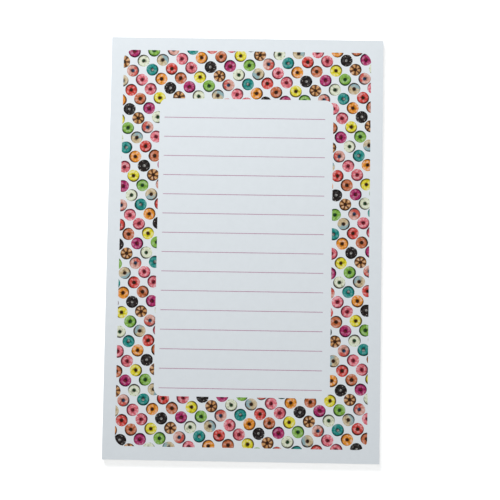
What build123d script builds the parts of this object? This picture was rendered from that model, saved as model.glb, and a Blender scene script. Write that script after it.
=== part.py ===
"""A half-letter writing pad: leaves on a chipboard back, glued along the head.

The pad lies face up. The origin is the middle of its underside, +X runs to the
right of the page, +Y to the glued head and +Z up. All lengths are millimetres.
"""

from build123d import *
from math import ceil, floor
import os

inch = 25.4

# Leaves, cut to half a letter sheet.
page_width = 5.5 * inch
page_length = 8.5 * inch
leaf_count = 50
leaf_thickness = 0.1
# Loose edges end at most this far inside the cut line, each leaf by its own amount.
leaf_jog = 0.16

# Chipboard back, cut flush with the leaves.
board_thickness = 0.7

# Padding compound, brushed over the head edge of leaves and board.
glue_thickness = 0.3
glue_edge_radius = 0.15

# Printed band: the bare margins outside it, and its depth at the sides, head and foot.
side_margin = 0.25 * inch
head_margin = 6.5
foot_margin = 6.95
side_band = 0.75 * inch
head_band = 24.9
foot_band = 1.0 * inch
band_corner_radius = 5.0
window_corner_radius = 4.2

# Ruling inside the writing window.
rule_count = 15
rule_pitch = 9.87
rule_first_drop = 9.85
rule_width = 0.3
rule_gap_left = 2.5
rule_gap_right = 4.1

# Ring pattern: a half-drop lattice whose rows rise and columns lean a little.
ring_radius = 3.1
ring_sides = 8
hole_radius = 0.8
hole_sides = 4
column_pitch = 4.98
row_pitch = 4.98
row_rise = 0.31
column_lean = 0.32
ring_turn = 137.5
# A clipped ring smaller than this area isn't printed.
least_ring_area = 1.2

# Ink stands this far above what it is printed on.
ink_thickness = 0.03

# Icing colours in lattice order, each with the colour of its middle.
icings = {
    "lemon": "brown",
    "coral": "brown",
    "cream": "green",
    "chocolate": "white",
    "rose": "red",
    "lime": "green",
    "peach": "brown",
    "teal": "white",
    "caramel": "brown",
    "strawberry": "red",
    "vanilla": "brown",
    "magenta": "red",
    "orange": "brown",
    "blush": "blue",
}
# Steps through the icing colours along the lattice's two diagonals.
icing_step_up = 3
icing_step_down = 5

# Heights and places that follow from the sizes above.
block_thickness = leaf_count * leaf_thickness
page_top = board_thickness + block_thickness
head_y = (page_length - glue_thickness) / 2
foot_y = head_y - page_length
page_centre = (0, (head_y + foot_y) / 2)
band_top = head_y - head_margin
band_foot = foot_y + foot_margin
band_width = page_width - 2 * side_margin
band_length = band_top - band_foot
band_centre = (0, (band_top + band_foot) / 2)
window_top = band_top - head_band
window_foot = band_foot + foot_band
window_width = band_width - 2 * side_band
window_length = window_top - window_foot
window_centre = (0, (window_top + window_foot) / 2)


def uneven(number, phase):
    """A repeatable uneven share between 0 and 1 for the leaf of this number."""
    turn = number * 0.618034 + phase
    return turn - floor(turn)


def edge_inset(leaf, phase):
    """How far inside the cut line a leaf ends. The outermost leaves are flush."""
    if leaf in (0, leaf_count - 1):
        return 0.0
    return leaf_jog * uneven(leaf, phase)


def lattice_places():
    """Every ring that can reach the band: its icing colour and its place."""
    places = {icing: [] for icing in icings}
    names = list(icings)
    columns = ceil(band_width / column_pitch)
    rows = ceil(band_length / row_pitch)
    for column in range(-columns, columns + 1):
        for row in range(-rows, rows + 1):
            if (column + row) % 2:
                continue
            x = page_centre[0] + column * column_pitch + row * column_lean
            y = page_centre[1] + row * row_pitch + column * row_rise
            if abs(x) > band_width / 2 + ring_radius:
                continue
            if abs(y - band_centre[1]) > band_length / 2 + ring_radius:
                continue
            up = (column + row) // 2
            down = (column - row) // 2
            icing = names[(up * icing_step_up + down * icing_step_down) % len(names)]
            turn = (column * columns + row) * ring_turn % 360
            places[icing].append(Location((x, y, 0), (0, 0, turn)))
    return places


# The block of leaves: flush at the glued head, each other edge at its own place.
with BuildPart() as sheets:
    for leaf in range(leaf_count):
        left = edge_inset(leaf, 0.13)
        right = edge_inset(leaf, 0.47)
        foot = edge_inset(leaf, 0.81)
        with BuildSketch(Plane.XY.offset(board_thickness + leaf * leaf_thickness)):
            with Locations(((left - right) / 2, page_centre[1] + foot / 2)):
                Rectangle(page_width - left - right, page_length - foot)
    extrude(amount=leaf_thickness)
sheets.part.label = "sheets"

# The stiff back.
with BuildPart() as backing_board:
    with BuildSketch():
        with Locations(page_centre):
            Rectangle(page_width, page_length)
    extrude(amount=board_thickness)
backing_board.part.label = "backing_board"

# The coat of padding compound, with the soft edge that a brush leaves.
with BuildPart() as padding_glue:
    with BuildSketch(Plane.XZ.offset(-head_y)):
        with Locations((0, page_top / 2)):
            Rectangle(page_width, page_top)
    extrude(amount=-glue_thickness)
    fillet(padding_glue.faces().sort_by(Axis.Y)[-1].edges(), glue_edge_radius)
padding_glue.part.label = "padding_glue"

# The ruling, from near the window's left edge to near its right edge.
with BuildPart() as ruled_lines:
    rule_length = window_width - rule_gap_left - rule_gap_right
    rule_x = (rule_gap_left - rule_gap_right) / 2
    rule_y = window_top - rule_first_drop - (rule_count - 1) * rule_pitch / 2
    with BuildSketch(Plane.XY.offset(page_top)):
        with Locations((rule_x, rule_y)):
            with GridLocations(0, rule_pitch, 1, rule_count):
                Rectangle(rule_length, rule_width)
    extrude(amount=ink_thickness)
ruled_lines.part.label = "ruled_lines"

# Where no ring prints: the margin round the band, and the writing window inside it.
with BuildSketch() as bare_paper:
    with Locations(page_centre):
        Rectangle(page_width, page_length)
    with Locations(band_centre):
        RectangleRounded(band_width, band_length, band_corner_radius, mode=Mode.SUBTRACT)
    with Locations(window_centre):
        RectangleRounded(window_width, window_length, window_corner_radius)

# The rings of each icing colour, and the middles that lie on them.
ring_places = lattice_places()
hole_places = {colour: [] for colour in icings.values()}
ring_prints = []
for icing, places in ring_places.items():
    with BuildPart() as rings:
        with BuildSketch(Plane.XY.offset(page_top)) as discs:
            with Locations(*places):
                RegularPolygon(ring_radius, ring_sides)
            add(bare_paper.sketch, mode=Mode.SUBTRACT)
            slivers = [face for face in discs.faces() if face.area < least_ring_area]
            if slivers:
                add(slivers, mode=Mode.SUBTRACT)
        extrude(amount=ink_thickness)
    rings.part.label = f"rings_{icing}"
    ring_prints.append(rings.part)
    hole_places[icings[icing]] += places

for colour, places in hole_places.items():
    with BuildPart() as holes:
        with BuildSketch(Plane.XY.offset(page_top + ink_thickness)) as middles:
            with Locations(*places):
                RegularPolygon(hole_radius, hole_sides)
            add(bare_paper.sketch, mode=Mode.SUBTRACT)
        extrude(amount=ink_thickness)
    holes.part.label = f"holes_{colour}"
    ring_prints.append(holes.part)

os.makedirs("parts", exist_ok=True)
for piece in (sheets, backing_board, padding_glue, ruled_lines):
    export_step(piece.part, f"parts/{piece.part.label}.step")
for print_colour in ring_prints:
    export_step(print_colour, f"parts/{print_colour.label}.step")
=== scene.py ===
"""Dresses the writing pad: leaves, chipboard, padding compound and print, on a stage to see it on."""
import math

import bmesh
import bpy
from mathutils import Euler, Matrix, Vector, noise


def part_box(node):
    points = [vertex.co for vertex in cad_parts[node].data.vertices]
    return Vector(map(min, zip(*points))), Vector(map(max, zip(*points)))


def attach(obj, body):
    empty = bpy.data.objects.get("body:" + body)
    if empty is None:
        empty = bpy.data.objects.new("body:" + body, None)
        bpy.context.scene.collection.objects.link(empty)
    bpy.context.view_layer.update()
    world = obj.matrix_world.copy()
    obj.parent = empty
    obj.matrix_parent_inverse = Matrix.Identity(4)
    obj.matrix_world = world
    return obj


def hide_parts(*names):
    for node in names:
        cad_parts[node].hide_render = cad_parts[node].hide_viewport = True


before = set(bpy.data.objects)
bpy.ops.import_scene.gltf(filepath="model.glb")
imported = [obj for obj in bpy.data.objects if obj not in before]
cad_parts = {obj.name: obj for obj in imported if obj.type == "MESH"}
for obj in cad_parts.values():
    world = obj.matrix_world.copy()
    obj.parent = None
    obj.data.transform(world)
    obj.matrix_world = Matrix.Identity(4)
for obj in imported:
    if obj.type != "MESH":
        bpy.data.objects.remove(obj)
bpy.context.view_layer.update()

bl_info = {
    "name": "Writing pad dresser",
    "version": (1, 0, 0),
    "blender": (4, 5, 0),
    "location": "3D View > Sidebar > Writing pad",
    "description": "Builds the paper, board, glue and print of a writing pad round its packed solids",
    "category": "Object",
}

MM = 0.001
BODY = "root"
LEAVES_LOW, LEAVES_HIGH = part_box("sheets")
BOARD_LOW, BOARD_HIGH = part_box("backing_board")
GLUE_LOW, GLUE_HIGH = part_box("padding_glue")
PAGE_TOP = LEAVES_HIGH[2]
PAGE_MIDDLE = Vector(((LEAVES_LOW[0] + LEAVES_HIGH[0]) / 2, (LEAVES_LOW[1] + LEAVES_HIGH[1]) / 2))
RING_MAP = "ring_place"
# Ink and fibres scatter most of the light that a smooth surface would mirror.
POROUS_SHINE = 0.1
# Studio light, a shade cooler than white.
LAMP_WHITE = "#F8FCFF"
# The fractions of this number's multiples are spread out, so neighbouring leaves differ.
GOLDEN_STEP = 0.618034
# Steps in which a cut edge wavers: long for the leaves, short for the crushed board.
LEAF_STEP = 9 * MM
BOARD_STEP = 3 * MM
# How far a printed outline strays from round, as a share of its radius, and a middle's sides.
RING_LUMPS = 0.05
MIDDLE_LUMPS = 0.4
MIDDLE_SIDES = 18


def linear(hex_colour):
    """The linear RGBA that Blender wants for an sRGB colour written as #rrggbb."""
    channels = [int(hex_colour[i:i + 2], 16) / 255 for i in (1, 3, 5)]
    return tuple(c / 12.92 if c <= 0.04045 else ((c + 0.055) / 1.055) ** 2.4 for c in channels) + (1.0,)


def blended(colour, other, share):
    """A linear colour this share of the way to another."""
    return tuple(a + (b - a) * share for a, b in zip(colour, other))


def darkened(colour, level):
    """A linear colour at this level of its own brightness."""
    return tuple(c * level for c in colour[:3]) + (1.0,)


# Each printed ring: icing, fried edge, what lies on the icing, and that topping's colour.
ICED_RINGS = {
    "lemon": ("#E9D928", "#6F5A1E", "plain", "#FFFFFF"),
    "coral": ("#D8463C", "#5A1F1C", "plain", "#FFFFFF"),
    "cream": ("#E4E6C8", "#4E463A", "sprinkles", "#93B26C"),
    "chocolate": ("#170D0A", "#080504", "sprinkles", "#D2C9C0"),
    "rose": ("#E8707C", "#7E2C3C", "sprinkles", "#FBE3E4"),
    "lime": ("#84B344", "#234A20", "plain", "#FFFFFF"),
    "peach": ("#C86C40", "#40200F", "plain", "#FFFFFF"),
    "teal": ("#1C8C84", "#10443D", "plain", "#FFFFFF"),
    "caramel": ("#D69A5C", "#4A280F", "stripes", "#4A200C"),
    "strawberry": ("#DC6670", "#7A1F36", "sprinkles", "#F7CFCF"),
    "vanilla": ("#CFB68C", "#3A2A22", "dipped", "#8CB4BE"),
    "magenta": ("#B22A66", "#480E2E", "plain", "#FFFFFF"),
    "orange": ("#EE9426", "#6E3810", "plain", "#FFFFFF"),
    "blush": ("#DDA090", "#4E4448", "dipped", "#CC4438"),
}
# The middles of the rings: colour, and the rings that have it.
MIDDLES = {
    "brown": ("#43230F", ("lemon", "coral", "peach", "caramel", "vanilla", "orange")),
    "green": ("#24512C", ("cream", "lime")),
    "red": ("#8E2433", ("rose", "strawberry", "magenta")),
    "white": ("#B9B4AE", ("chocolate", "teal")),
    "blue": ("#2F4D72", ("blush",)),
}


class PadLeafSettings(bpy.types.PropertyGroup):
    leaf_count: bpy.props.IntProperty(name="Leaves", description="Leaves in the pad", default=50, min=2)
    jog: bpy.props.FloatProperty(
        name="Jog", description="Most that a leaf ends inside the cut line",
        default=0.16 * MM, unit="LENGTH"
    )
    waver: bpy.props.FloatProperty(
        name="Waver", description="How far a cut edge wanders along its length",
        default=0.035 * MM, unit="LENGTH"
    )
    parting: bpy.props.FloatProperty(
        name="Parting", description="Air between two leaves, on average",
        default=0.012 * MM, unit="LENGTH"
    )
    paper: bpy.props.FloatVectorProperty(
        name="Paper", description="Colour of the paper",
        subtype="COLOR", size=4, default=linear("#F0F3F5")
    )


class PadBoardSettings(bpy.types.PropertyGroup):
    crush: bpy.props.FloatProperty(
        name="Crush", description="Rounding that the guillotine leaves on the board's edge",
        default=0.12 * MM, unit="LENGTH"
    )
    board: bpy.props.FloatVectorProperty(
        name="Board", description="Colour of the chipboard",
        subtype="COLOR", size=4, default=linear("#A4998A")
    )


class PadGlueSettings(bpy.types.PropertyGroup):
    thin: bpy.props.FloatProperty(
        name="Thin", description="Thickness of the coat where the brush left least",
        default=0.16 * MM, unit="LENGTH"
    )
    glue: bpy.props.FloatVectorProperty(
        name="Compound", description="Colour of the padding compound", subtype="COLOR", size=4,
        default=linear("#EFEDE8")
    )


class PadPrintSettings(bpy.types.PropertyGroup):
    side_margin: bpy.props.FloatProperty(
        name="Side margin", description="Bare paper beside the printed band",
        default=6.35 * MM, unit="LENGTH"
    )
    head_margin: bpy.props.FloatProperty(
        name="Head margin", description="Bare paper above the printed band",
        default=6.5 * MM, unit="LENGTH"
    )
    foot_margin: bpy.props.FloatProperty(
        name="Foot margin", description="Bare paper below the printed band",
        default=6.95 * MM, unit="LENGTH"
    )
    side_band: bpy.props.FloatProperty(
        name="Side band", description="Width of the band at the sides",
        default=19.05 * MM, unit="LENGTH"
    )
    head_band: bpy.props.FloatProperty(
        name="Head band", description="Depth of the band at the head", default=24.9 * MM, unit="LENGTH"
    )
    foot_band: bpy.props.FloatProperty(
        name="Foot band", description="Depth of the band at the foot", default=25.4 * MM, unit="LENGTH"
    )
    band_corner: bpy.props.FloatProperty(
        name="Band corner", description="Radius of the band's outer corners",
        default=5.0 * MM, unit="LENGTH"
    )
    window_corner: bpy.props.FloatProperty(
        name="Window corner", description="Radius of the window's corners",
        default=4.2 * MM, unit="LENGTH"
    )
    ring_radius: bpy.props.FloatProperty(
        name="Ring radius", description="Outer radius of a printed ring",
        default=3.1 * MM, unit="LENGTH"
    )
    middle_radius: bpy.props.FloatProperty(
        name="Middle radius", description="Radius of a ring's middle", default=0.7 * MM, unit="LENGTH"
    )
    column_pitch: bpy.props.FloatProperty(
        name="Column pitch", description="Distance between two columns of rings",
        default=4.98 * MM, unit="LENGTH"
    )
    row_pitch: bpy.props.FloatProperty(
        name="Row pitch", description="Distance between two rows of rings",
        default=4.98 * MM, unit="LENGTH"
    )
    row_rise: bpy.props.FloatProperty(
        name="Row rise", description="How far a row climbs from column to column",
        default=0.31 * MM, unit="LENGTH"
    )
    column_lean: bpy.props.FloatProperty(
        name="Column lean", description="How far a column leans from row to row",
        default=0.32 * MM, unit="LENGTH"
    )
    ring_turn: bpy.props.FloatProperty(
        name="Ring turn", description="Turn from each ring to the next",
        default=math.radians(137.5), unit="ROTATION"
    )
    ring_sides: bpy.props.IntProperty(
        name="Sides", description="Sides of a ring's outline", default=40, min=8
    )
    step_up: bpy.props.IntProperty(
        name="Step up", description="Icing colours on per rising diagonal", default=3
    )
    step_down: bpy.props.IntProperty(
        name="Step down", description="Icing colours on per falling diagonal", default=5
    )
    rule: bpy.props.FloatVectorProperty(
        name="Rule", description="Colour of the ruled lines",
        subtype="COLOR", size=4, default=linear("#B46F93")
    )


class PadStageSettings(bpy.types.PropertyGroup):
    focal_px: bpy.props.FloatProperty(
        name="Focal length", description="Focal length in pixels of a 500 pixel wide picture",
        default=1600.0
    )
    eye: bpy.props.FloatVectorProperty(
        name="Eye", description="Where the camera stands", subtype="TRANSLATION", unit="LENGTH",
        default=(13.4 * MM, -71.0 * MM, 816.0 * MM)
    )
    turn: bpy.props.FloatVectorProperty(
        name="Turn", description="The camera's turn about X, Y and Z", subtype="EULER", unit="ROTATION",
        default=(math.radians(4.943), math.radians(0.652), math.radians(0.972))
    )
    key_power: bpy.props.FloatProperty(
        name="Key", description="Power of the soft key lamp in watts", default=3.05
    )
    side_power: bpy.props.FloatProperty(
        name="Side light", description="Power of the low lamp that lights the cut edges, in watts",
        default=0.8
    )
    fill: bpy.props.FloatProperty(
        name="Fill", description="Strength of the even light from all round", default=0.26
    )


def add_node(tree, kind, links=(), out=None, stops=(), **settings):
    """Adds a shader node with its inputs, links, stops and settings. Gives it, or one output."""
    node = tree.nodes.new(kind)
    for name, value in settings.items():
        setattr(node, name, value)
    for name, value in dict(links).items():
        if isinstance(value, bpy.types.NodeSocket):
            tree.links.new(value, node.inputs[name])
        else:
            node.inputs[name].default_value = value
    for number, (place, colour) in enumerate(stops):
        ramp = node.color_ramp.elements
        stop = ramp[number] if number < len(ramp) else ramp.new(place)
        stop.position = place
        stop.color = colour
    return node if out is None else node.outputs[out]


def new_material(name, roughness, ior=1.5, shine=0.5):
    """An empty material with its shader: (material, its node tree, its Principled shader)."""
    material = bpy.data.materials.new(name)
    material.use_nodes = True
    tree = material.node_tree
    shader = tree.nodes["Principled BSDF"]
    shader.inputs["Roughness"].default_value = roughness
    shader.inputs["IOR"].default_value = ior
    shader.inputs["Specular IOR Level"].default_value = shine
    return material, tree, shader


def paper_tooth(tree, shader, height):
    """Bump of pressed fibres, 0.25 mm across: real tooth is finer, but wouldn't show in the picture."""
    spot = add_node(tree, "ShaderNodeTexCoord", out="Object")
    tooth = add_node(
        tree, "ShaderNodeTexNoise",
        {"Vector": spot, "Scale": 1 / (0.25 * MM), "Detail": 3.0, "Roughness": 0.6}, out="Fac"
    )
    bump = add_node(
        tree, "ShaderNodeBump", {"Height": tooth, "Strength": 0.5, "Distance": height}, out="Normal"
    )
    tree.links.new(bump, shader.inputs["Normal"])
    return spot


def offset_paper(colour):
    """Uncoated wood-free paper, calendered: dead matte, with the faint cloud that fibres leave."""
    material, tree, shader = new_material("uncoated_offset_paper", 0.86, shine=POROUS_SHINE)
    spot = paper_tooth(tree, shader, 0.006 * MM)
    cloud = add_node(
        tree, "ShaderNodeTexNoise",
        {"Vector": spot, "Scale": 1 / (3.5 * MM), "Detail": 4.0, "Roughness": 0.65}, out="Fac"
    )
    tone = add_node(
        tree, "ShaderNodeValToRGB", {"Fac": cloud}, out="Color",
        stops=[(0.3, darkened(colour, 0.975)), (0.7, colour)]
    )
    tree.links.new(tone, shader.inputs["Base Color"])
    return material


def cut_paper_edge(colour, leaf):
    """The guillotined edge of stacked paper, greyer than its face: painted shade, in streaks for leaves
    that each catch the light by themselves.

    Single leaves are too fine to show in the picture, so the streaks are several leaves high, with
    finer ones in them.
    """
    leaves_to_streak = 6
    streaks_along = 22.0
    material, tree, shader = new_material("guillotined_paper_edge", 0.92, shine=POROUS_SHINE)
    spot = add_node(tree, "ShaderNodeTexCoord", out="Object")
    along = add_node(
        tree, "ShaderNodeMapping",
        {"Vector": spot, "Scale": (streaks_along, streaks_along, 1 / (leaves_to_streak * leaf))},
        out="Vector"
    )
    streak = add_node(
        tree, "ShaderNodeTexNoise",
        {"Vector": along, "Scale": 1.0, "Detail": 4.0, "Roughness": 0.62}, out="Fac"
    )
    # Painted shade: the streaks darken the edge to between 0.6 of the paper's colour and the full
    # colour.
    tone = add_node(
        tree, "ShaderNodeValToRGB", {"Fac": streak}, out="Color",
        stops=[(0.34, darkened(colour, 0.6)), (0.5, darkened(colour, 0.9)), (0.64, colour)]
    )
    tree.links.new(tone, shader.inputs["Base Color"])
    bump = add_node(
        tree, "ShaderNodeBump", {"Height": streak, "Strength": 0.6, "Distance": 0.02 * MM}, out="Normal"
    )
    tree.links.new(bump, shader.inputs["Normal"])
    return material


def chipboard(colour):
    """Pressed waste-paper board: brown-grey felt of fibres, with dark and pale flecks of old print."""
    material, tree, shader = new_material("pressed_grey_chipboard", 0.93)
    spot = add_node(tree, "ShaderNodeTexCoord", out="Object")
    felt = add_node(
        tree, "ShaderNodeTexNoise",
        {"Vector": spot, "Scale": 1 / (1.6 * MM), "Detail": 6.0, "Roughness": 0.7, "Distortion": 0.6},
        out="Fac"
    )
    pulp = add_node(
        tree, "ShaderNodeValToRGB", {"Fac": felt}, out="Color",
        stops=[
            (0.3, darkened(colour, 0.78)), (0.55, colour),
            (0.75, blended(colour, linear("#D8D0C2"), 0.35)),
        ]
    )
    stretched = add_node(
        tree, "ShaderNodeMapping", {"Vector": spot, "Scale": (1.0, 2.6, 2.6)}, out="Vector"
    )
    scraps = add_node(
        tree, "ShaderNodeTexVoronoi", {"Vector": stretched, "Scale": 1 / (2.4 * MM)}, feature="F1"
    )
    fleck = add_node(
        tree, "ShaderNodeMapRange",
        {
            "Value": scraps.outputs["Distance"],
            "From Min": 0.09, "From Max": 0.13, "To Min": 1.0, "To Max": 0.0,
        },
        out="Result"
    )
    fleck_tone = add_node(
        tree, "ShaderNodeValToRGB", {"Fac": scraps.outputs["Color"]}, out="Color",
        stops=[(0.35, linear("#5E564C")), (0.65, linear("#D9D3C8"))]
    )
    flecked = add_node(
        tree, "ShaderNodeMix",
        {"Factor": fleck, "A": pulp, "B": fleck_tone}, data_type="RGBA", out="Result"
    )
    tree.links.new(flecked, shader.inputs["Base Color"])
    bump = add_node(
        tree, "ShaderNodeBump", {"Height": felt, "Strength": 0.6, "Distance": 0.05 * MM}, out="Normal"
    )
    tree.links.new(bump, shader.inputs["Normal"])
    return material


def padding_compound(colour):
    """White padding adhesive, brushed on and dried: a rubbery skin, softly shiny and streaked."""
    material, tree, shader = new_material("brushed_padding_compound", 0.42, 1.48)
    spot = add_node(tree, "ShaderNodeTexCoord", out="Object")
    drawn = add_node(
        tree, "ShaderNodeMapping", {"Vector": spot, "Scale": (0.06, 1.0, 1.0)}, out="Vector"
    )
    streak = add_node(
        tree, "ShaderNodeTexNoise",
        {"Vector": drawn, "Scale": 1 / (0.5 * MM), "Detail": 4.0, "Roughness": 0.6}, out="Fac"
    )
    tone = add_node(
        tree, "ShaderNodeValToRGB", {"Fac": streak}, out="Color",
        stops=[(0.3, darkened(colour, 0.9)), (0.7, colour)]
    )
    tree.links.new(tone, shader.inputs["Base Color"])
    bump = add_node(
        tree, "ShaderNodeBump", {"Height": streak, "Strength": 0.5, "Distance": 0.04 * MM}, out="Normal"
    )
    tree.links.new(bump, shader.inputs["Normal"])
    return material


def line_ink(colour, paper):
    """A fine ruled line in offset ink, so thin that fibres show through and its strength wanders."""
    material, tree, shader = new_material("offset_rule_ink", 0.7, shine=POROUS_SHINE)
    spot = paper_tooth(tree, shader, 0.006 * MM)
    soak = add_node(
        tree, "ShaderNodeTexNoise", {"Vector": spot, "Scale": 1 / (0.6 * MM), "Detail": 3.0}, out="Fac"
    )
    tone = add_node(
        tree, "ShaderNodeValToRGB", {"Fac": soak}, out="Color",
        stops=[(0.35, colour), (0.7, blended(colour, paper, 0.2))]
    )
    tree.links.new(tone, shader.inputs["Base Color"])
    return material


def glaze_light(tree, place, reach, wobble):
    """How brightly the pictured glaze is lit, 0 to 1: a rounded ring, lit from above on its left."""
    lamp_side, lamp_height = (-0.3, 0.4, 0.0), 0.87
    lumpiness = 1.7
    slope = add_node(
        tree, "ShaderNodeMapRange",
        {"Value": reach, "From Min": 0.2, "From Max": 1.03, "To Min": -1.0, "To Max": 1.0}, out="Result"
    )
    steep = add_node(tree, "ShaderNodeMath", {0: slope, 1: slope}, operation="MULTIPLY", out=0)
    level_squared = add_node(tree, "ShaderNodeMath", {0: 1.0, 1: steep}, operation="SUBTRACT", out=0)
    level = add_node(tree, "ShaderNodeMath", {0: level_squared}, operation="SQRT", out=0)
    outward = add_node(tree, "ShaderNodeVectorMath", {0: place}, operation="NORMALIZE", out="Vector")
    toward = add_node(
        tree, "ShaderNodeVectorMath", {0: outward, 1: lamp_side}, operation="DOT_PRODUCT", out="Value"
    )
    leaning = add_node(tree, "ShaderNodeMath", {0: slope, 1: toward}, operation="MULTIPLY", out=0)
    smooth_light = add_node(
        tree, "ShaderNodeMath", {0: level, 1: lamp_height, 2: leaning}, operation="MULTIPLY_ADD", out=0
    )
    light = add_node(
        tree, "ShaderNodeMath",
        {0: wobble, 1: lumpiness, 2: smooth_light}, operation="MULTIPLY_ADD", out=0
    )
    return add_node(
        tree, "ShaderNodeMapRange",
        {"Value": light, "From Min": 0.35, "From Max": 2.15, "To Min": 0.0, "To Max": 1.0}, out="Result"
    )


def topping_share(tree, topping, place, wobble):
    """The topping's share of the pictured glaze at each point: sprinkles, stripes or a dipped half."""
    dip_waves = 1.8
    stripe_count = 6.0
    # Two layers of grains that lie across each other: turn and place in the noise.
    grain_layers = ((0.6, 0.0), (-0.7, 4.0))
    if topping == "dipped":
        along = add_node(tree, "ShaderNodeSeparateXYZ", {"Vector": place}, out="Y")
        wavy = add_node(
            tree, "ShaderNodeMath", {0: wobble, 1: dip_waves, 2: along}, operation="MULTIPLY_ADD", out=0
        )
        return add_node(
            tree, "ShaderNodeMapRange",
            {"Value": wavy, "From Min": 0.4, "From Max": 0.95, "To Min": 0.85, "To Max": 0.0},
            out="Result"
        )
    if topping == "stripes":
        parts = add_node(tree, "ShaderNodeSeparateXYZ", {"Vector": place})
        angle = add_node(
            tree, "ShaderNodeMath",
            {0: parts.outputs["Y"], 1: parts.outputs["X"]}, operation="ARCTAN2", out=0
        )
        spread = add_node(
            tree, "ShaderNodeMath", {0: angle, 1: stripe_count}, operation="MULTIPLY", out=0
        )
        wave = add_node(tree, "ShaderNodeMath", {0: spread}, operation="SINE", out=0)
        return add_node(
            tree, "ShaderNodeMapRange",
            {"Value": wave, "From Min": -0.3, "From Max": 0.4, "To Min": 0.0, "To Max": 0.9},
            out="Result"
        )
    shares = []
    for turn, seed in grain_layers:
        laid = add_node(
            tree, "ShaderNodeMapping",
            {
                "Vector": place,
                "Rotation": (0, 0, turn), "Location": (seed, seed, 0), "Scale": (1.0, 1.9, 1.0),
            },
            out="Vector"
        )
        grains = add_node(
            tree, "ShaderNodeTexVoronoi", {"Vector": laid, "Scale": 1.7}, feature="F1", out="Distance"
        )
        shares.append(add_node(
            tree, "ShaderNodeMapRange",
            {"Value": grains, "From Min": 0.16, "From Max": 0.22, "To Min": 0.85, "To Max": 0.0},
            out="Result"
        ))
    return add_node(tree, "ShaderNodeMath", {0: shares[0], 1: shares[1]}, operation="MAXIMUM", out=0)


def iced_ring_ink(name, icing, crumb, topping, scatter):
    """Four-colour print of an iced ring on uncoated paper: matte, with the glaze's shading printed."""
    slip = (-0.13, 0.1, 0.0)
    hem_waves = 0.3
    material, tree, shader = new_material(f"printed_{name}_icing", 0.62, shine=POROUS_SHINE)
    spot = paper_tooth(tree, shader, 0.005 * MM)
    place = add_node(tree, "ShaderNodeUVMap", uv_map=RING_MAP, out="UV")
    reach = add_node(tree, "ShaderNodeVectorMath", {0: place}, operation="LENGTH", out="Value")
    wobble = add_node(
        tree, "ShaderNodeTexNoise", {"Vector": spot, "Scale": 1 / (1.2 * MM), "Detail": 1.5}, out="Fac"
    )
    light = glaze_light(tree, place, reach, wobble)
    shade = blended(icing, crumb, 0.35)
    glint = blended(icing, linear("#FFFFFF"), 0.04 + 0.36 * max(icing[:3]))
    glazed = add_node(
        tree, "ShaderNodeValToRGB", {"Fac": light}, out="Color",
        stops=[
            (0.08, darkened(shade, 0.1)), (0.4, darkened(shade, 0.35)), (0.57, darkened(icing, 0.7)),
            (0.69, icing), (0.8, blended(icing, glint, 0.3)), (0.9, glint),
        ]
    )
    if topping != "plain":
        share = topping_share(tree, topping, place, wobble)
        glazed = add_node(
            tree, "ShaderNodeMix",
            {"Factor": share, "A": glazed, "B": scatter}, data_type="RGBA", out="Result"
        )
    # The glaze slipped to one side. Fried crumb shows on the other, and down the wall of the hole.
    slipped = add_node(
        tree, "ShaderNodeVectorMath", {0: place, 1: slip}, operation="SUBTRACT", out="Vector"
    )
    slipped_reach = add_node(
        tree, "ShaderNodeVectorMath", {0: slipped}, operation="LENGTH", out="Value"
    )
    hem = add_node(
        tree, "ShaderNodeMath",
        {0: wobble, 1: hem_waves, 2: slipped_reach}, operation="MULTIPLY_ADD", out=0
    )
    outer_crumb = add_node(
        tree, "ShaderNodeMapRange",
        {"Value": hem, "From Min": 1.02, "From Max": 1.12, "To Min": 0.0, "To Max": 1.0}, out="Result"
    )
    inner_crumb = add_node(
        tree, "ShaderNodeMapRange",
        {"Value": reach, "From Min": 0.26, "From Max": 0.38, "To Min": 0.9, "To Max": 0.0},
        interpolation_type="SMOOTHSTEP", out="Result"
    )
    bare = add_node(
        tree, "ShaderNodeMath", {0: outer_crumb, 1: inner_crumb}, operation="MAXIMUM", out=0
    )
    fried = add_node(
        tree, "ShaderNodeValToRGB", {"Fac": light}, out="Color",
        stops=[
            (0.1, darkened(crumb, 0.3)), (0.55, darkened(crumb, 0.8)),
            (0.9, blended(crumb, icing, 0.3)),
        ]
    )
    ring = add_node(
        tree, "ShaderNodeMix", {"Factor": bare, "A": glazed, "B": fried}, data_type="RGBA", out="Result"
    )
    # Halftone dots are far too fine to show, so the ink is broken up at 0.3 mm.
    grain = add_node(
        tree, "ShaderNodeTexNoise", {"Vector": spot, "Scale": 1 / (0.3 * MM), "Detail": 2.0}, out="Fac"
    )
    screen = add_node(
        tree, "ShaderNodeMapRange",
        {"Value": grain, "From Min": 0.3, "From Max": 0.7, "To Min": 0.92, "To Max": 1.05}, out="Result"
    )
    printed = add_node(
        tree, "ShaderNodeVectorMath", {0: ring, "Scale": screen}, operation="SCALE", out="Vector"
    )
    tree.links.new(printed, shader.inputs["Base Color"])
    return material


def middle_ink(name, colour):
    """Four-colour print of a ring's middle: the shadow in the hole, paler where its far wall is lit."""
    far_wall = (0.6, -0.8, 0.0)
    material, tree, shader = new_material(f"printed_{name}_middle", 0.62, shine=POROUS_SHINE)
    paper_tooth(tree, shader, 0.005 * MM)
    place = add_node(tree, "ShaderNodeUVMap", uv_map=RING_MAP, out="UV")
    across = add_node(
        tree, "ShaderNodeVectorMath", {0: place, 1: far_wall}, operation="DOT_PRODUCT", out="Value"
    )
    depth = add_node(
        tree, "ShaderNodeMapRange",
        {"Value": across, "From Min": -0.8, "From Max": 1.0, "To Min": 0.0, "To Max": 1.0}, out="Result"
    )
    tone = add_node(
        tree, "ShaderNodeValToRGB", {"Fac": depth}, out="Color",
        stops=[(0.0, darkened(colour, 0.15)), (0.5, darkened(colour, 0.5)), (0.9, colour)]
    )
    tree.links.new(tone, shader.inputs["Base Color"])
    return material


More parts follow.
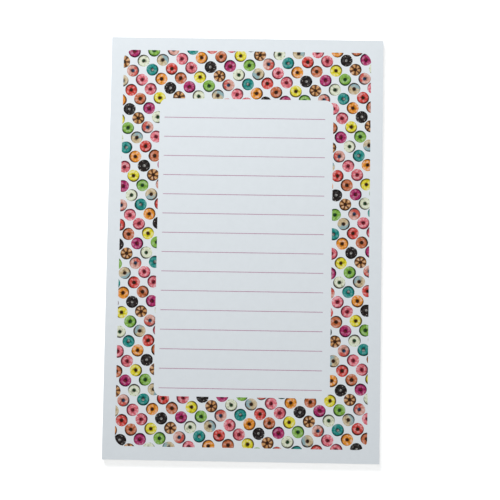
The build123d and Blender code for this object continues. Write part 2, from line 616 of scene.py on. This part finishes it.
def seen_directly(tree, paths):
    """1 for the rays that should meet plain white: from the camera, in gloss and through glass."""
    direct = add_node(
        tree, "ShaderNodeMath",
        {0: paths.outputs["Is Camera Ray"], 1: paths.outputs["Is Glossy Ray"]},
        operation="MAXIMUM", out=0
    )
    return add_node(
        tree, "ShaderNodeMath",
        {0: direct, 1: paths.outputs["Is Transmission Ray"]}, operation="MAXIMUM", out=0
    )


def white_sweep():
    """The white floor: matte paint that keeps a shadow, and glows to plain white where seen directly.

    It doesn't show from below, and it lets light by within a millimetre, so the pad's underside can be
    looked at.
    """
    touching_reach = 1.0 * MM
    material = bpy.data.materials.new("white_painted_sweep")
    material.use_nodes = True
    tree = material.node_tree
    tree.nodes.clear()
    paths = add_node(tree, "ShaderNodeLightPath")
    seen = seen_directly(tree, paths)
    matte = add_node(tree, "ShaderNodeBsdfDiffuse", {"Color": linear("#F2F2F2")}, out="BSDF")
    spot = add_node(tree, "ShaderNodeTexCoord", out="Object")
    away = add_node(tree, "ShaderNodeVectorMath", {0: spot}, operation="LENGTH", out="Value")
    strength = add_node(
        tree, "ShaderNodeMapRange",
        {"Value": away, "From Min": 130 * MM, "From Max": 500 * MM, "To Min": 0.6, "To Max": 0.78},
        out="Result"
    )
    glow = add_node(
        tree, "ShaderNodeEmission", {"Color": linear("#FFFEFC"), "Strength": strength}, out="Emission"
    )
    shining = add_node(tree, "ShaderNodeAddShader", {0: matte, 1: glow}, out="Shader")
    top = add_node(tree, "ShaderNodeMixShader", {"Fac": seen, 1: matte, 2: shining}, out="Shader")
    facing = add_node(tree, "ShaderNodeNewGeometry", out="Backfacing")
    touching = add_node(
        tree, "ShaderNodeMath",
        {0: paths.outputs["Ray Length"], 1: touching_reach}, operation="LESS_THAN", out=0
    )
    open_side = add_node(tree, "ShaderNodeMath", {0: facing, 1: touching}, operation="MAXIMUM", out=0)
    clear = add_node(tree, "ShaderNodeBsdfTransparent", out="BSDF")
    surface = add_node(tree, "ShaderNodeMixShader", {"Fac": open_side, 1: top, 2: clear}, out="Shader")
    add_node(tree, "ShaderNodeOutputMaterial", {"Surface": surface})
    return material


def new_piece(name, bm, materials, node, smooth=False):
    """Makes a piece from a bmesh in metres, in place of a CAD node, on the pad's one body."""
    mesh = bpy.data.meshes.new(name)
    bmesh.ops.recalc_face_normals(bm, faces=bm.faces)
    bm.to_mesh(mesh)
    bm.free()
    for face in mesh.polygons:
        face.use_smooth = smooth
    piece = bpy.data.objects.new(name, mesh)
    bpy.context.scene.collection.objects.link(piece)
    for material in materials:
        mesh.materials.append(material)
    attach(piece, BODY)
    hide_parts(node)
    return piece


def add_slab(bm, outline, low, high, side_material=0):
    """A closed slab between two heights, with this outline, anticlockwise."""
    bottom = [bm.verts.new((x, y, low)) for x, y in outline]
    top = [bm.verts.new((x, y, high)) for x, y in outline]
    bm.faces.new(list(reversed(bottom)))
    bm.faces.new(top)
    for i, j in zip(range(len(outline)), list(range(1, len(outline))) + [0]):
        side = bm.faces.new((bottom[i], bottom[j], top[j], top[i]))
        side.material_index = side_material


def rounded_rectangle(half_width, top, foot, radius, steps=10):
    """A rectangle with round corners, anticlockwise, from its half width and its two ends."""
    outline = []
    for corner, (across, along) in enumerate(((1, 1), (-1, 1), (-1, -1), (1, -1))):
        middle_x = PAGE_MIDDLE.x + across * (half_width - radius)
        middle_y = (top if along > 0 else foot) - along * radius
        for step in range(steps + 1):
            angle = math.radians(90 * (corner + step / steps))
            outline.append((middle_x + radius * math.cos(angle), middle_y + radius * math.sin(angle)))
    return outline


def uneven(number, phase):
    """A repeatable uneven share between 0 and 1 for the leaf of this number."""
    return (number * GOLDEN_STEP + phase) % 1.0


def soft_noise(*place):
    """Smooth noise between 0 and 1 at this place."""
    return noise.noise(place) * 0.5 + 0.5


def leaf_outline(leaf, settings):
    """One leaf: straight at the glued head, wavering a little along its three cut edges."""
    waves_to_metre = 60
    waves_to_leaf = 1.7
    outermost = leaf in (0, settings.leaf_count - 1)
    # The phases of the right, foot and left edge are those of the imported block.
    insets = [0.0 if outermost else settings.jog * uneven(leaf, phase) for phase in (0.47, 0.81, 0.13)]
    right = LEAVES_HIGH[0] - insets[0]
    foot = LEAVES_LOW[1] + insets[1]
    left = LEAVES_LOW[0] + insets[2]
    head = LEAVES_HIGH[1]
    corners = [(right, head), (left, head), (left, foot), (right, foot)]
    outline = []
    for side, (start, end) in enumerate(zip(corners, corners[1:] + corners[:1])):
        run = Vector(end) - Vector(start)
        inward = Vector((-run.y, run.x)).normalized()
        steps = 1 if side == 0 else max(2, round(run.length / LEAF_STEP))
        for step in range(steps):
            point = Vector(start) + run * (step / steps)
            if side and step:
                layer = leaf * waves_to_leaf + side
                wander = soft_noise(point.x * waves_to_metre, point.y * waves_to_metre, layer)
                point += inward * settings.waver * wander
            outline.append(tuple(point))
    return outline


def band_edges(settings):
    """The printed band's half width, top and foot on the page."""
    half_width = (LEAVES_HIGH[0] - LEAVES_LOW[0]) / 2 - settings.side_margin
    return half_width, LEAVES_HIGH[1] - settings.head_margin, LEAVES_LOW[1] + settings.foot_margin


def ring_places(settings):
    """Every printed ring that can reach the band: its icing, its place and its turn."""
    half_width, top, foot = band_edges(settings)
    columns = math.ceil(2 * half_width / settings.column_pitch)
    rows = math.ceil((top - foot) / settings.row_pitch)
    names = list(ICED_RINGS)
    places = {name: [] for name in names}
    for column in range(-columns, columns + 1):
        for row in range(-rows, rows + 1):
            if (column + row) % 2:
                continue
            x = PAGE_MIDDLE.x + column * settings.column_pitch + row * settings.column_lean
            y = PAGE_MIDDLE.y + row * settings.row_pitch + column * settings.row_rise
            if abs(x - PAGE_MIDDLE.x) > half_width + settings.ring_radius:
                continue
            if not foot - settings.ring_radius < y < top + settings.ring_radius:
                continue
            up = (column + row) // 2
            down = (column - row) // 2
            name = names[(up * settings.step_up + down * settings.step_down) % len(names)]
            places[name].append((x, y, (column * columns + row) * settings.ring_turn % math.tau))
    return places


def clip_to_band(piece, settings):
    """Cuts a printed piece off at the band's outer edge and at the writing window."""
    half_width, top, foot = band_edges(settings)
    window = (half_width - settings.side_band, top - settings.head_band, foot + settings.foot_band)
    cutter_reach = 2 * MM
    cuts = (
        ("INTERSECT", rounded_rectangle(half_width, top, foot, settings.band_corner)),
        ("DIFFERENCE", rounded_rectangle(*window, settings.window_corner)),
    )
    for operation, outline in cuts:
        bm = bmesh.new()
        add_slab(bm, outline, PAGE_TOP - cutter_reach, PAGE_TOP + cutter_reach)
        bmesh.ops.recalc_face_normals(bm, faces=bm.faces)
        mesh = bpy.data.meshes.new("cutter")
        bm.to_mesh(mesh)
        bm.free()
        cutter = bpy.data.objects.new("cutter", mesh)
        bpy.context.scene.collection.objects.link(cutter)
        cutting = piece.modifiers.new("cut", "BOOLEAN")
        cutting.operation = operation
        cutting.solver = "EXACT"
        cutting.object = cutter
        with bpy.context.temp_override(object=piece, active_object=piece):
            bpy.ops.object.modifier_apply(modifier=cutting.name)
        bpy.data.objects.remove(cutter)
        bpy.data.meshes.remove(mesh)


def map_rings(piece, places, radius):
    """Lays the ring map: each ring's own middle at 0, 0 and its rim 1 away, turned with the ring."""
    mesh = piece.data
    uv = mesh.uv_layers.new(name=RING_MAP)
    for face in mesh.polygons:
        spot = face.center
        x, y, turn = min(places, key=lambda place: (place[0] - spot.x) ** 2 + (place[1] - spot.y) ** 2)
        cos, sin = math.cos(-turn), math.sin(-turn)
        for loop in face.loop_indices:
            point = mesh.vertices[mesh.loops[loop].vertex_index].co
            across, along = (point.x - x) / radius, (point.y - y) / radius
            uv.data[loop].uv = (across * cos - along * sin, across * sin + along * cos)


def print_discs(name, places, radius, lumpy, sides, low, high, material, node, settings):
    """Prints a film of discs, none quite round, clipped to the band and mapped ring by ring."""
    # Each outline follows the noise round a circle of its own, so that no two are the same.
    circle, apart = 1.1, 700
    bm = bmesh.new()
    for x, y, turn in places:
        outline = []
        for side in range(sides):
            angle = turn + math.tau * side / sides
            across, along = math.cos(angle), math.sin(angle)
            place = (across * circle + x * apart, along * circle + y * apart, turn)
            bulge = radius * (1 + lumpy * noise.noise(place))
            outline.append((x + bulge * across, y + bulge * along))
        add_slab(bm, outline, low, high)
    piece = new_piece(name, bm, [material], node)
    clip_to_band(piece, settings)
    map_rings(piece, places, radius)


class NOTEPAD_OT_leaves(bpy.types.Operator):
    """Stacks the leaves one by one, with their own cut edges"""
    bl_idname = "notepad.leaves"
    bl_label = "Leaves"

    def execute(self, context):
        settings = context.scene.pad_leaves
        leaf = (LEAVES_HIGH[2] - LEAVES_LOW[2]) / settings.leaf_count
        bm = bmesh.new()
        for number in range(settings.leaf_count):
            low = LEAVES_LOW[2] + number * leaf
            # Each gap is 0.4 to 1.6 times the average. The top leaf has none above it.
            parting = 0.0 if number == settings.leaf_count - 1 else settings.parting
            high = low + leaf - parting * (0.4 + 1.2 * uneven(number, 0.29))
            add_slab(bm, leaf_outline(number, settings), low, high, side_material=1)
        paper = tuple(settings.paper)
        materials = [offset_paper(paper), cut_paper_edge(paper, leaf)]
        new_piece("leaf_stack", bm, materials, "sheets")
        return {"FINISHED"}


class NOTEPAD_OT_board(bpy.types.Operator):
    """Lays the chipboard back, with its edges crushed by the guillotine"""
    bl_idname = "notepad.board"
    bl_label = "Chipboard"

    def execute(self, context):
        settings = context.scene.pad_board
        # Up the edge: the share of the thickness, and of the crush at that height.
        levels = ((0.0, 0.7), (0.3, 0.1), (0.7, 0.1), (1.0, 0.7))
        roughness = 0.3
        corner_push = 1.4
        waves_to_metre, waves_to_edge = 900, 5
        bm = bmesh.new()
        rows = []
        for share, crushed in levels:
            z = BOARD_LOW[2] + share * (BOARD_HIGH[2] - BOARD_LOW[2])
            row = []
            corners = [
                (BOARD_HIGH[0], BOARD_HIGH[1]), (BOARD_LOW[0], BOARD_HIGH[1]),
                (BOARD_LOW[0], BOARD_LOW[1]), (BOARD_HIGH[0], BOARD_LOW[1]),
            ]
            for side, (start, end) in enumerate(zip(corners, corners[1:] + corners[:1])):
                run = Vector(end) - Vector(start)
                inward = Vector((-run.y, run.x)).normalized()
                steps = max(2, round(run.length / BOARD_STEP))
                for step in range(steps):
                    point = Vector(start) + run * (step / steps)
                    place = (point.x * waves_to_metre, point.y * waves_to_metre, share * waves_to_edge)
                    inset = settings.crush * (crushed + roughness * soft_noise(*place))
                    push = inward if step else (PAGE_MIDDLE - point).normalized() * corner_push
                    if side == 0:
                        push = Vector((push.x, 0.0))
                    point += push * inset
                    row.append(bm.verts.new((point.x, point.y, z)))
            rows.append(row)
        bm.faces.new(list(reversed(rows[0])))
        bm.faces.new(rows[-1])
        for low, high in zip(rows, rows[1:]):
            for i in range(len(low)):
                j = (i + 1) % len(low)
                bm.faces.new((low[i], low[j], high[j], high[i]))
        board = tuple(settings.board)
        new_piece("chipboard_back", bm, [chipboard(board)], "backing_board")
        return {"FINISHED"}


class NOTEPAD_OT_glue(bpy.types.Operator):
    """Brushes the padding compound over the head edge, thicker and thinner along the stroke"""
    bl_idname = "notepad.glue"
    bl_label = "Padding compound"

    def execute(self, context):
        settings = context.scene.pad_glue
        coat = GLUE_HIGH[1] - GLUE_LOW[1]
        # Faces along and up the coat, and how many of them its rim takes to round off.
        across, up = 240, 14
        rim_faces = 1.6
        least = 0.03 * MM
        # Long streaks from the brush and shorter lumps: share, and waves per metre along and up.
        streak_share, streak_waves = 0.65, (45, 1400)
        lump_share, lump_waves = 0.35, (160, 300)
        bm = bmesh.new()
        outer, inner = [], []
        for row in range(up + 1):
            height = row / up
            z = GLUE_LOW[2] + height * (GLUE_HIGH[2] - GLUE_LOW[2])
            outer_row, inner_row = [], []
            for column in range(across + 1):
                share = column / across
                x = GLUE_LOW[0] + share * (GLUE_HIGH[0] - GLUE_LOW[0])
                rim = min(height, 1 - height) * up
                side = min(share, 1 - share) * across
                soft = math.sqrt(min(1.0, rim / rim_faces)) * math.sqrt(min(1.0, side / rim_faces))
                streak = soft_noise(x * streak_waves[0], z * streak_waves[1], 3.0)
                lump = soft_noise(x * lump_waves[0], z * lump_waves[1], 9.0)
                body = streak_share * streak + lump_share * lump
                depth = settings.thin + (coat - settings.thin) * body
                outer_row.append(bm.verts.new((x, GLUE_LOW[1] + max(least, depth * soft), z)))
                inner_row.append(bm.verts.new((x, GLUE_LOW[1], z)))
            outer.append(outer_row)
            inner.append(inner_row)
        for row in range(up):
            for column in range(across):
                bm.faces.new((outer[row][column], outer[row + 1][column],
                              outer[row + 1][column + 1], outer[row][column + 1]))
                bm.faces.new((inner[row][column], inner[row][column + 1],
                              inner[row + 1][column + 1], inner[row + 1][column]))
            for column in (0, across):
                bm.faces.new((outer[row][column], inner[row][column],
                              inner[row + 1][column], outer[row + 1][column]))
        for row in (0, up):
            for column in range(across):
                bm.faces.new((outer[row][column], outer[row][column + 1],
                              inner[row][column + 1], inner[row][column]))
        compound = padding_compound(tuple(settings.glue))
        new_piece("padding_coat", bm, [compound], "padding_glue", smooth=True)
        return {"FINISHED"}


class NOTEPAD_OT_rules(bpy.types.Operator):
    """Inks the ruled lines"""
    bl_idname = "notepad.rules"
    bl_label = "Ruled lines"

    def execute(self, context):
        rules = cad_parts["ruled_lines"]
        ink = line_ink(tuple(context.scene.pad_print.rule), tuple(context.scene.pad_leaves.paper))
        rules.data.materials.clear()
        rules.data.materials.append(ink)
        return {"FINISHED"}


class NOTEPAD_OT_rings(bpy.types.Operator):
    """Prints the iced rings of the band, one piece for each icing"""
    bl_idname = "notepad.rings"
    bl_label = "Iced rings"

    def execute(self, context):
        settings = context.scene.pad_print
        for name, places in ring_places(settings).items():
            icing, edge, topping, scatter = ICED_RINGS[name]
            low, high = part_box(f"rings_{name}")
            ink = iced_ring_ink(name, linear(icing), linear(edge), topping, linear(scatter))
            print_discs(
                f"ring_print_{name}", places, settings.ring_radius, RING_LUMPS, settings.ring_sides,
                low[2], high[2], ink, f"rings_{name}", settings
            )
        return {"FINISHED"}


class NOTEPAD_OT_middles(bpy.types.Operator):
    """Prints the rings' middles, one piece for each colour"""
    bl_idname = "notepad.middles"
    bl_label = "Ring middles"

    def execute(self, context):
        settings = context.scene.pad_print
        rings = ring_places(settings)
        for name, (colour, owners) in MIDDLES.items():
            places = [place for owner in owners for place in rings[owner]]
            low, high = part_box(f"holes_{name}")
            print_discs(
                f"middle_print_{name}", places, settings.middle_radius, MIDDLE_LUMPS, MIDDLE_SIDES,
                low[2], high[2], middle_ink(name, linear(colour)),
                f"holes_{name}", settings
            )
        return {"FINISHED"}


class NOTEPAD_OT_stage(bpy.types.Operator):
    """Sets the floor, the soft light and the camera"""
    bl_idname = "notepad.stage"
    bl_label = "Stage"

    def execute(self, context):
        scene = context.scene
        settings = scene.pad_stage
        scene.view_settings.view_transform = "Standard"
        floor_reach = 4.0
        floor_drop = 0.1 * MM
        picture_px = 500
        aim = Vector((0, 0.02, 0))

        bm = bmesh.new()
        bmesh.ops.create_grid(bm, x_segments=1, y_segments=1, size=floor_reach)
        bmesh.ops.translate(bm, vec=(0.0, 0.0, BOARD_LOW[2] - floor_drop), verts=bm.verts)
        mesh = bpy.data.meshes.new("floor")
        bm.to_mesh(mesh)
        bm.free()
        mesh.materials.append(white_sweep())
        floor = bpy.data.objects.new("floor", mesh)
        scene.collection.objects.link(floor)

        world = bpy.data.worlds.new("studio")
        scene.world = world
        world.use_nodes = True
        sky = world.node_tree
        sky.nodes.clear()
        rays = add_node(sky, "ShaderNodeLightPath")
        seen = seen_directly(sky, rays)
        even = add_node(
            sky, "ShaderNodeBackground",
            {"Color": linear(LAMP_WHITE), "Strength": settings.fill}, out="Background"
        )
        backdrop = add_node(
            sky, "ShaderNodeBackground", {"Color": linear("#FFFFFF"), "Strength": 1.0}, out="Background"
        )
        either = add_node(sky, "ShaderNodeMixShader", {"Fac": seen, 1: even, 2: backdrop}, out="Shader")
        add_node(sky, "ShaderNodeOutputWorld", {"Surface": either})

        # The key stands over the head, to the left. The side light is low, to reach the cut edges.
        lamps = (
            ("key", settings.key_power, 0.35, (-0.15, 0.34, 0.55)),
            ("side_light", settings.side_power, 0.4, (0.38, -0.46, 0.13)),
        )
        for name, power, size, place in lamps:
            lamp = bpy.data.lights.new(name, "AREA")
            lamp.shape = "DISK"
            lamp.size = size
            lamp.energy = power
            lamp.color = linear(LAMP_WHITE)[:3]
            stand = bpy.data.objects.new(name, lamp)
            stand.location = place
            stand.rotation_euler = (aim - stand.location).to_track_quat("-Z", "Y").to_euler()
            scene.collection.objects.link(stand)

        camera = bpy.data.cameras.new("camera")
        camera.sensor_width = 36.0
        camera.lens = settings.focal_px / picture_px * camera.sensor_width
        camera.clip_start = 0.01
        camera.clip_end = 20.0
        seat = bpy.data.objects.new("camera", camera)
        seat.location = settings.eye
        seat.rotation_euler = Euler(settings.turn)
        scene.collection.objects.link(seat)
        scene.camera = seat
        return {"FINISHED"}


class NOTEPAD_PT_panel(bpy.types.Panel):
    """Offers the steps that build the pad"""
    bl_idname = "NOTEPAD_PT_panel"
    bl_label = "Writing pad"
    bl_space_type = "VIEW_3D"
    bl_region_type = "UI"
    bl_category = "Writing pad"

    def draw(self, context):
        for operator in OPERATORS:
            self.layout.operator(operator.bl_idname)


SETTINGS = {
    "pad_leaves": PadLeafSettings,
    "pad_board": PadBoardSettings,
    "pad_glue": PadGlueSettings,
    "pad_print": PadPrintSettings,
    "pad_stage": PadStageSettings,
}
OPERATORS = (
    NOTEPAD_OT_stage, NOTEPAD_OT_leaves, NOTEPAD_OT_board, NOTEPAD_OT_glue,
    NOTEPAD_OT_rules, NOTEPAD_OT_rings, NOTEPAD_OT_middles,
)


def register():
    for kind in (*SETTINGS.values(), *OPERATORS, NOTEPAD_PT_panel):
        bpy.utils.register_class(kind)
    for name, kind in SETTINGS.items():
        setattr(bpy.types.Scene, name, bpy.props.PointerProperty(type=kind))


def unregister():
    for name in SETTINGS:
        delattr(bpy.types.Scene, name)
    for kind in reversed((*SETTINGS.values(), *OPERATORS, NOTEPAD_PT_panel)):
        bpy.utils.unregister_class(kind)


def main():
    """Registers the add-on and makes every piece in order."""
    register()
    bpy.ops.notepad.stage()
    bpy.ops.notepad.leaves()
    bpy.ops.notepad.board()
    bpy.ops.notepad.glue()
    bpy.ops.notepad.rules()
    bpy.ops.notepad.rings()
    bpy.ops.notepad.middles()


if __name__ == "__main__":
    main()
